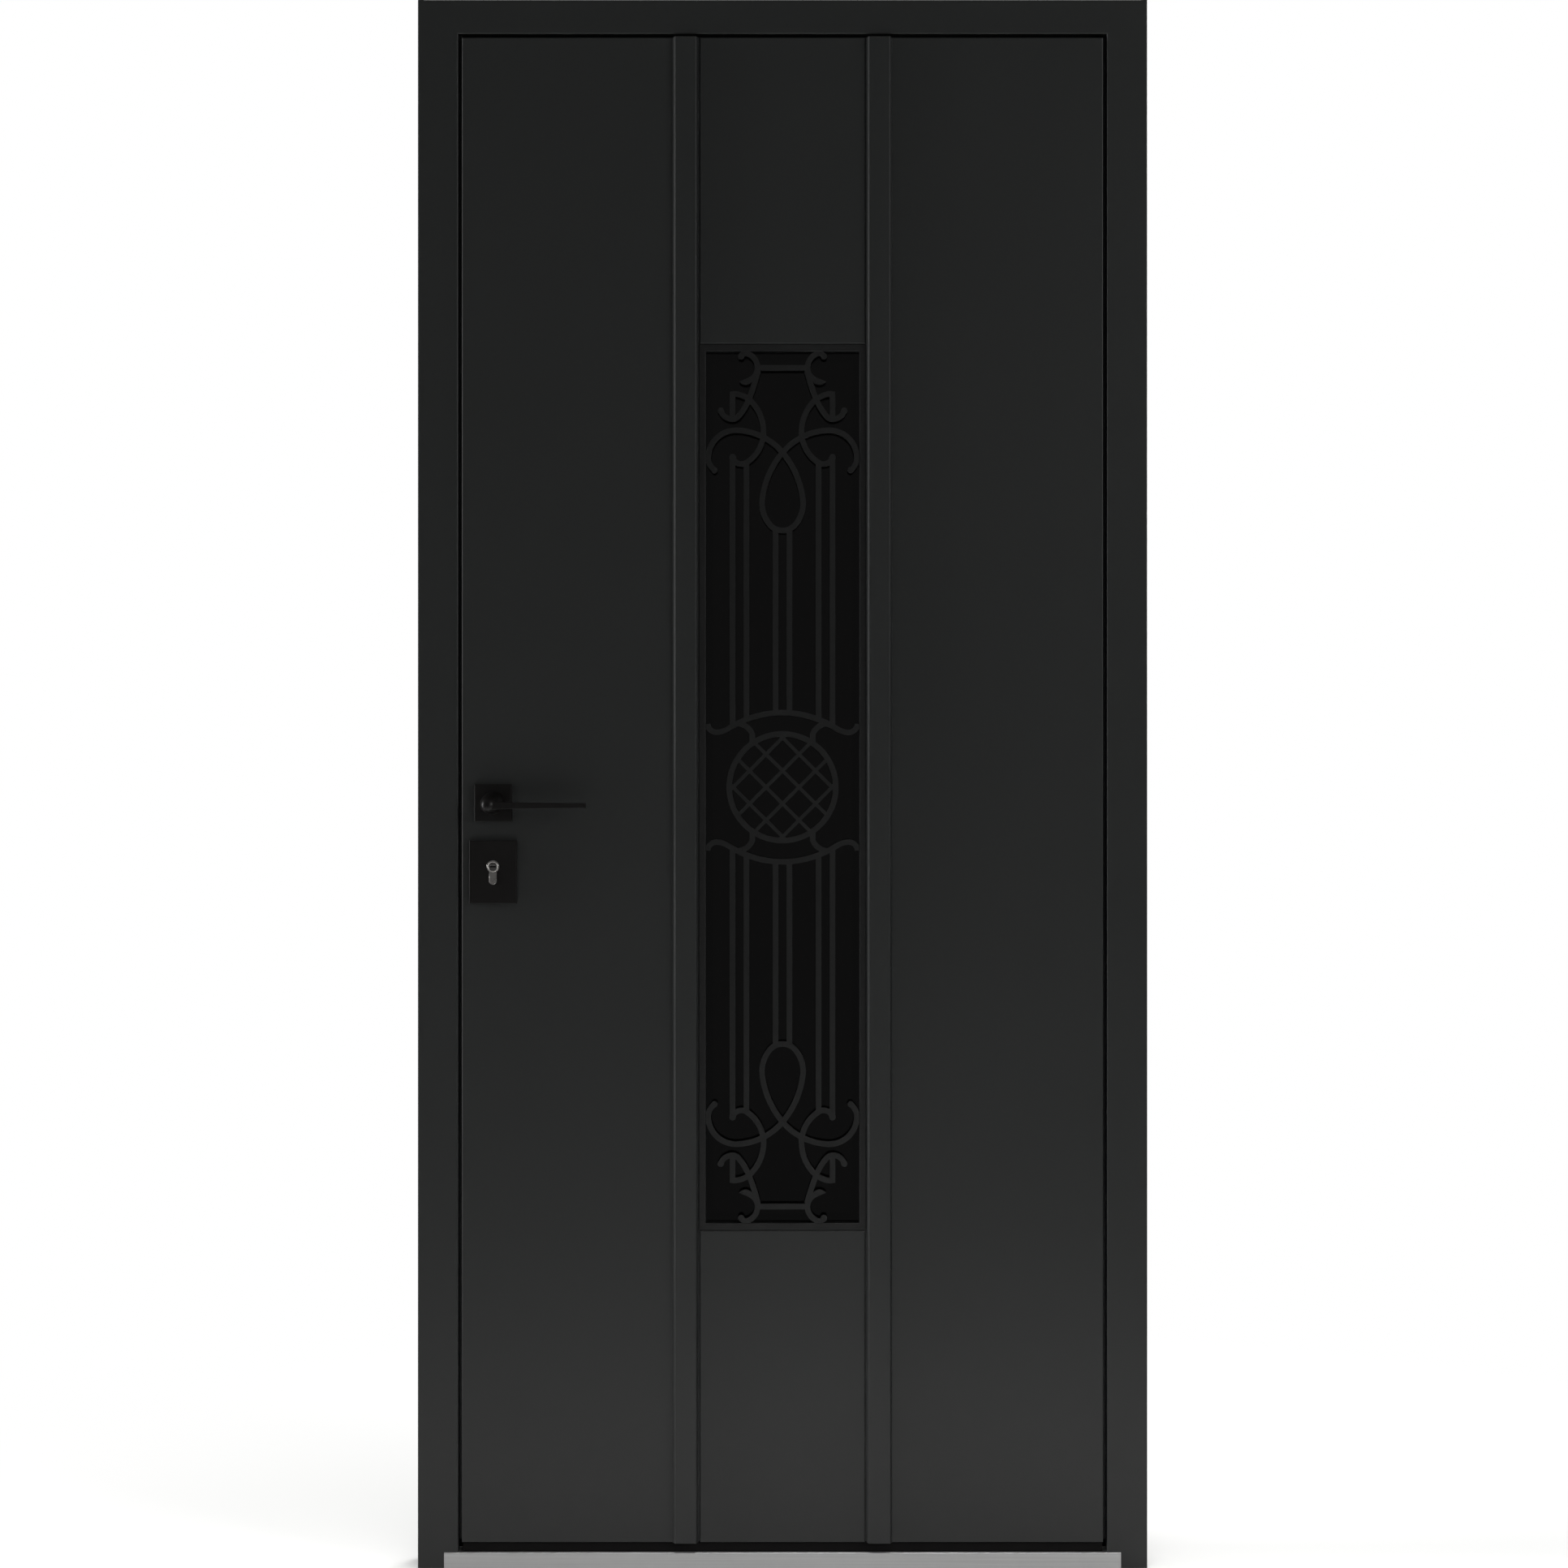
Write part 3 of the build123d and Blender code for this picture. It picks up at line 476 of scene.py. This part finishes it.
# Roses and escutcheons: square-cornered plates of cast zinc, satin black, clamped together
# through the leaf so that no screw shows.
black_satin = powder_coat(
    "black_satin",
    color=(0.0034, 0.0030, 0.0028),
    # Paler colour near the ground: partly dust, partly painted light.
    dust_and_painted_light_color=(0.006, 0.0056, 0.0053),
    roughness=0.38,
    specular=0.16,
    relief=0.00004,
)
for name in ("outside_rose", "inside_rose", "outside_escutcheon", "inside_escutcheon"):
    plate = softened(name, rounding=0.0003, steps=2, body="leaf")
    plate.data.materials.append(black_satin)

# Levers: cast handles, each a domed hub that leans into a flat bar tapering to a blunt tip,
# satin black like the plates. Each is pinned on the square spindle.


def combined(first, second, operation):
    """Mesh made of two meshes by an exact Boolean."""
    holder = bpy.data.objects.new("boolean_holder", first)
    tool = bpy.data.objects.new("boolean_tool", second)
    for item in (holder, tool):
        bpy.context.collection.objects.link(item)
    change = holder.modifiers.new("change", "BOOLEAN")
    change.operation = operation
    change.solver = "EXACT"
    change.object = tool
    bpy.context.view_layer.update()
    graph = bpy.context.evaluated_depsgraph_get()
    result = bpy.data.meshes.new_from_object(holder.evaluated_get(graph))
    for item in (holder, tool):
        bpy.data.objects.remove(item)
    return result


def turned(name, profile, centre, steps):
    """Mesh of a profile of (radius, y) points turned about the line along Y through a centre."""
    merge_distance = 0.000001
    shape = bmesh.new()
    points = [shape.verts.new((centre.x + radius, y, centre.z)) for radius, y in profile]
    lines = [shape.edges.new(pair) for pair in zip(points, points[1:])]
    bmesh.ops.spin(
        shape,
        geom=points + lines,
        cent=centre,
        axis=(0.0, 1.0, 0.0),
        angle=math.radians(360),
        steps=steps,
        use_merge=True,
    )
    bmesh.ops.remove_doubles(shape, verts=shape.verts, dist=merge_distance)
    open_ends = [edge for edge in shape.edges if edge.is_boundary]
    bmesh.ops.holes_fill(shape, edges=open_ends, sides=0)
    bmesh.ops.recalc_face_normals(shape, faces=shape.faces)
    mesh = bpy.data.meshes.new(name)
    shape.to_mesh(mesh)
    shape.free()
    return mesh


def lever_bar(name, start, end_x, outward):
    """Flat bar from a start point in the hub to its blunt tip, tapered, with rounded edges."""
    root_height = 0.0105
    neck_height = 0.0090
    tip_height = 0.0064
    neck_share = 0.22
    depth = 0.020
    edge_round = 0.0008
    corner_angle = math.radians(60)
    shape = bmesh.new()
    bmesh.ops.create_cube(shape, size=1.0)
    bmesh.ops.bisect_plane(
        shape,
        geom=shape.verts[:] + shape.edges[:] + shape.faces[:],
        plane_co=(neck_share - 0.5, 0.0, 0.0),
        plane_no=(1.0, 0.0, 0.0),
    )
    for corner in shape.verts:
        share = corner.co.x + 0.5
        height = neck_height
        if share < neck_share / 2:
            height = root_height
        elif share > 2 * neck_share:
            height = tip_height
        x = start.x + share * (end_x - start.x)
        y = start.y - outward * depth * (0.5 + corner.co.y)
        corner.co = Vector((x, y, start.z + height * corner.co.z))
    bmesh.ops.recalc_face_normals(shape, faces=shape.faces)
    corner_edges = [edge for edge in shape.edges if edge.calc_face_angle() > corner_angle]
    bmesh.ops.bevel(
        shape,
        geom=corner_edges,
        offset=edge_round,
        segments=4,
        profile=0.5,
        affect="EDGES",
        material=-1,
    )
    mesh = bpy.data.meshes.new(name)
    shape.to_mesh(mesh)
    shape.free()
    return mesh


hub_steps = 24
hub_sides = 72
dome_power = 2.5
nose_shift = Vector((-0.005, 0.0, -0.0035))
bar_set_back = 0.003
cast_sharp_angle = math.radians(40)
for name in ("outside_lever", "inside_lever"):
    low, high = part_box(name)
    outward = -1.0 if high.y < 0.0 else 1.0
    base_y = high.y if outward < 0.0 else low.y
    nose_y = low.y if outward < 0.0 else high.y
    hub_radius = (high.z - low.z) / 2
    hub_centre = Vector((low.x + hub_radius, 0.0, (low.z + high.z) / 2))
    hub_profile = []
    for step in range(hub_steps + 1):
        reach = math.sin(math.radians(90) * step / hub_steps)
        radius = hub_radius * (1.0 - reach**dome_power) ** (1.0 / dome_power)
        hub_profile.append((radius, base_y + reach * (nose_y - base_y)))
    hub_mesh = turned(f"{name}_hub", hub_profile, hub_centre, hub_sides)
    for corner in hub_mesh.vertices:
        reach = (corner.co.y - base_y) / (nose_y - base_y)
        corner.co += nose_shift * reach**2
    bar_start = Vector((hub_centre.x, nose_y - outward * bar_set_back, hub_centre.z + nose_shift.z))
    bar_mesh = lever_bar(f"{name}_bar", bar_start, high.x, outward)
    lever_mesh = combined(hub_mesh, bar_mesh, "UNION")
    lever_mesh.shade_smooth()
    lever_mesh.set_sharp_from_angle(angle=cast_sharp_angle)
    lever = bpy.data.objects.new(f"{name}_cast", lever_mesh)
    bpy.context.collection.objects.link(lever)
    flat_faces = lever.modifiers.new("flat_faces", "WEIGHTED_NORMAL")
    flat_faces.keep_sharp = True
    lever.data.materials.clear()
    lever.data.materials.append(black_satin)
    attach(lever, "lever")
    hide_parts(name)
finish_node("spindle", satin_steel)

# Key cylinder: profile cylinder of nickel-plated brass through the leaf. At each end a raised
# rim runs round the plug. The plug's face inside the rim is painted shade, half as bright as
# the nickel, and a black block just inside the keyway is painted shade there.
satin_nickel = drawn_metal(
    "satin_nickel", color=(0.40, 0.388, 0.372), roughness=0.3, along="X", relief=0.00002
)
cylinder = softened("key_cylinder", rounding=0.0003, steps=2, body="leaf")
low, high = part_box("key_cylinder")
barrel_radius = (high.x - low.x) / 2
plug_centre = Vector((low.x + barrel_radius, 0.0, high.z - barrel_radius))
rim_radius = 0.0066
rim_bead = 0.0008
bead_steps = 16
rim_sides = 48
keyway_size = (0.0082, 0.003, 0.0026)
keyway_recess = 0.0003
# Painted shade: the plug's face inside the rim is darkened to this share of the nickel's colour.
plug_shade = 0.5
plug_edge_width = 0.0002
nickel_nodes = satin_nickel.node_tree.nodes
nickel_link = satin_nickel.node_tree.links.new
nickel_shader = nickel_nodes["Principled BSDF"]
nickel_tone = nickel_shader.inputs["Base Color"].links[0].from_socket
nickel_place = nickel_nodes.new("ShaderNodeTexCoord")
from_plug = nickel_nodes.new("ShaderNodeVectorMath")
from_plug.operation = "MULTIPLY_ADD"
from_plug.inputs[1].default_value = (1.0, 0.0, 1.0)
from_plug.inputs[2].default_value = (-plug_centre.x, 0.0, -plug_centre.z)
nickel_link(nickel_place.outputs["Object"], from_plug.inputs[0])
plug_reach = nickel_nodes.new("ShaderNodeVectorMath")
plug_reach.operation = "LENGTH"
nickel_link(from_plug.outputs["Vector"], plug_reach.inputs[0])
plug_painted_shade_mask = nickel_nodes.new("ShaderNodeMapRange")
plug_painted_shade_mask.inputs["From Min"].default_value = rim_radius - rim_bead
plug_painted_shade_mask.inputs["From Max"].default_value = rim_radius - rim_bead + plug_edge_width
plug_painted_shade_mask.inputs["To Min"].default_value = plug_shade
plug_painted_shade_mask.inputs["To Max"].default_value = 1.0
nickel_link(plug_reach.outputs["Value"], plug_painted_shade_mask.inputs["Value"])
plug_painted_shade_mix = nickel_nodes.new("ShaderNodeMix")
plug_painted_shade_mix.data_type = "RGBA"
plug_painted_shade_mix.blend_type = "MULTIPLY"
plug_painted_shade_mix.inputs["Factor"].default_value = 1.0
nickel_link(nickel_tone, plug_painted_shade_mix.inputs["A"])
nickel_link(plug_painted_shade_mask.outputs["Result"], plug_painted_shade_mix.inputs["B"])
nickel_link(plug_painted_shade_mix.outputs["Result"], nickel_shader.inputs["Base Color"])
for side, end_y, inward in (("outside", low.y, 1.0), ("inside", high.y, -1.0)):
    rim_profile = []
    for step in range(bead_steps + 1):
        turn = math.radians(360) * step / bead_steps
        rim_profile.append((rim_radius + rim_bead * math.cos(turn), end_y + rim_bead * math.sin(turn)))
    rim_mesh = turned("plug_rim", rim_profile, plug_centre, rim_sides)
    cylinder.data = combined(cylinder.data, rim_mesh, "UNION")
    # Painted shade: a black block set just inside each keyway stands in for the shade in the slot.
    keyway_shade_y = end_y + inward * (keyway_recess + keyway_size[1] / 2)
    keyway_shade_place = (plug_centre.x, keyway_shade_y, plug_centre.z)
    keyway_shade_shape = bmesh.new()
    bmesh.ops.create_cube(
        keyway_shade_shape, size=1.0, matrix=Matrix.LocRotScale(keyway_shade_place, None, keyway_size)
    )
    keyway_shade_mesh = bpy.data.meshes.new(f"{side}_keyway")
    keyway_shade_shape.to_mesh(keyway_shade_mesh)
    keyway_shade_shape.free()
    keyway_shade = bpy.data.objects.new(f"{side}_keyway", keyway_shade_mesh)
    bpy.context.collection.objects.link(keyway_shade)
    keyway_shade.data.materials.append(black_satin)
    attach(keyway_shade, "leaf")
cylinder.data.materials.clear()
cylinder.data.materials.append(satin_nickel)

# Hinges: three lift-off barrel hinges of steel, black like the handles, on the inside of the
# leaf and the jamb. Two button screws hold each flap.
flap_thickness = 0.003
flap_screw_inset = 0.010
flap_screw_spacing = 0.026
flap_screw_radius = 0.0042
flap_screw_proud = 0.0012
for height in ("bottom", "middle", "top"):
    leaf_low, leaf_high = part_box(f"{height}_hinge_leaf_half")
    flap_height = leaf_high.z - leaf_low.z
    for half, body in (("jamb_half", "frame"), ("leaf_half", "leaf")):
        name = f"{height}_hinge_{half}"
        hinge = softened(name, rounding=0.001, steps=3, body=body)
        hinge.data.materials.append(black_satin)
        low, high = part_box(name)
        screw_x = high.x - flap_screw_inset if half == "jamb_half" else low.x + flap_screw_inset
        for end, shift in (("lower", -0.5), ("upper", 0.5)):
            screw_z = low.z + flap_height / 2 + shift * flap_screw_spacing
            centre = (screw_x, low.y + flap_thickness, screw_z)
            screw = socket_screw(
                f"{name}_{end}_screw",
                centre,
                outward=(0.0, 1.0, 0.0),
                head_radius=flap_screw_radius,
                proud=flap_screw_proud,
                body=body,
            )
            screw.data.materials.append(black_satin)

# Stage: a pale floor that fades into the white background, a strip light that grazes the door
# from the left, softer lamps round it, and a camera square to the outside of the door.
floor_radius = 2.6
fade_start = 0.5
fade_end = 2.0
floor_mesh = bpy.data.meshes.new("floor")
floor_shape = bmesh.new()
bmesh.ops.create_circle(floor_shape, cap_ends=True, segments=96, radius=floor_radius)
floor_shape.to_mesh(floor_mesh)
floor_shape.free()
floor = bpy.data.objects.new("floor", floor_mesh)
bpy.context.collection.objects.link(floor)
floor_material, floor_shader = plain_material(
    "pale_floor", color=(0.82, 0.82, 0.81), roughness=0.9, specular=0.1
)
floor_nodes = floor_material.node_tree.nodes
floor_link = floor_material.node_tree.links.new
floor_place = floor_nodes.new("ShaderNodeTexCoord")
floor_reach = floor_nodes.new("ShaderNodeVectorMath")
floor_reach.operation = "LENGTH"
floor_link(floor_place.outputs["Object"], floor_reach.inputs[0])
floor_fade = floor_nodes.new("ShaderNodeMapRange")
floor_fade.interpolation_type = "SMOOTHSTEP"
floor_fade.inputs["From Min"].default_value = fade_start
floor_fade.inputs["From Max"].default_value = fade_end
floor_link(floor_reach.outputs["Value"], floor_fade.inputs["Value"])
floor_path = floor_nodes.new("ShaderNodeLightPath")
floor_mirrored = floor_nodes.new("ShaderNodeMath")
floor_mirrored.operation = "MAXIMUM"
floor_link(floor_path.outputs["Is Glossy Ray"], floor_mirrored.inputs[0])
floor_link(floor_path.outputs["Is Transmission Ray"], floor_mirrored.inputs[1])
floor_seen = floor_nodes.new("ShaderNodeMath")
floor_seen.operation = "MAXIMUM"
floor_link(floor_path.outputs["Is Camera Ray"], floor_seen.inputs[0])
floor_link(floor_mirrored.outputs["Value"], floor_seen.inputs[1])
floor_share = floor_nodes.new("ShaderNodeMath")
floor_share.operation = "MULTIPLY"
floor_link(floor_fade.outputs["Result"], floor_share.inputs[0])
floor_link(floor_seen.outputs["Value"], floor_share.inputs[1])
floor_white = floor_nodes.new("ShaderNodeEmission")
floor_mix = floor_nodes.new("ShaderNodeMixShader")
floor_link(floor_share.outputs["Value"], floor_mix.inputs["Fac"])
floor_link(floor_shader.outputs["BSDF"], floor_mix.inputs[1])
floor_link(floor_white.outputs["Emission"], floor_mix.inputs[2])
floor_link(floor_mix.outputs["Shader"], floor_nodes["Material Output"].inputs["Surface"])
floor.data.materials.append(floor_material)

world = bpy.data.worlds.new("studio")
bpy.context.scene.world = world
world.use_nodes = True
world_nodes = world.node_tree.nodes
world_link = world.node_tree.links.new
sky = world_nodes["Background"]
sky.inputs["Color"].default_value = (1.0, 1.0, 1.0, 1.0)
ambient = 0.48
unlit_front = 0.12
world_place = world_nodes.new("ShaderNodeTexCoord")
world_parts = world_nodes.new("ShaderNodeSeparateXYZ")
world_link(world_place.outputs["Generated"], world_parts.inputs["Vector"])
behind = world_nodes.new("ShaderNodeMapRange")
behind.interpolation_type = "SMOOTHSTEP"
behind.inputs["From Min"].default_value = -0.1
behind.inputs["From Max"].default_value = 0.7
behind.inputs["To Min"].default_value = unlit_front
behind.inputs["To Max"].default_value = 1.0
world_link(world_parts.outputs["Y"], behind.inputs["Value"])
world_path = world_nodes.new("ShaderNodeLightPath")
mirror_ray = world_nodes.new("ShaderNodeMath")
mirror_ray.operation = "MAXIMUM"
world_link(world_path.outputs["Is Glossy Ray"], mirror_ray.inputs[0])
world_link(world_path.outputs["Is Transmission Ray"], mirror_ray.inputs[1])
lit = world_nodes.new("ShaderNodeMix")
lit.inputs["A"].default_value = ambient
world_link(mirror_ray.outputs["Value"], lit.inputs["Factor"])
world_link(behind.outputs["Result"], lit.inputs["B"])
seen = world_nodes.new("ShaderNodeMix")
seen.inputs["B"].default_value = 1.0
world_link(world_path.outputs["Is Camera Ray"], seen.inputs["Factor"])
world_link(lit.outputs["Result"], seen.inputs["A"])
world_link(seen.outputs["Result"], sky.inputs["Strength"])

door_middle = (0.0, 0.0, 1.0)
floor_in_front = (0.2, -2.0, 0.0)
for name, place, target, width, height, power, spread in (
    ("left_strip_light", (-4.5, -0.4, 1.5), door_middle, 0.5, 3.4, 225.0, 180.0),
    ("right_softbox", (3.2, -2.8, 2.3), door_middle, 1.6, 1.6, 65.0, 180.0),
    ("floor_light", (0.2, -2.0, 3.6), floor_in_front, 1.2, 1.2, 56.0, 60.0),
    ("behind_softbox", (1.5, 3.2, 2.2), door_middle, 2.0, 2.0, 130.0, 180.0),
):
    lamp = bpy.data.lights.new(name, "AREA")
    lamp.shape = "RECTANGLE"
    lamp.size = width
    lamp.size_y = height
    lamp.energy = power
    lamp.spread = math.radians(spread)
    lamp_object = bpy.data.objects.new(name, lamp)
    lamp_object.location = place
    aim = Vector(target) - Vector(place)
    lamp_object.rotation_euler = aim.to_track_quat("-Z", "Y").to_euler()
    bpy.context.collection.objects.link(lamp_object)

picture_height = 2.1490
eye_distance = 4.5
eye_height = 1.0749
eye_shift = 0.002
lever_reach = 0.0494
frame_face_y = cad_box[0].y + lever_reach
camera = bpy.data.cameras.new("camera")
camera.sensor_width = 36.0
camera.lens = camera.sensor_width * eye_distance / picture_height
camera_object = bpy.data.objects.new("camera", camera)
camera_object.location = (eye_shift, frame_face_y - eye_distance, eye_height)
camera_object.rotation_euler = (math.radians(90), 0.0, 0.0)
bpy.context.collection.objects.link(camera_object)
bpy.context.scene.camera = camera_object
bpy.context.scene.view_settings.view_transform = "Standard"
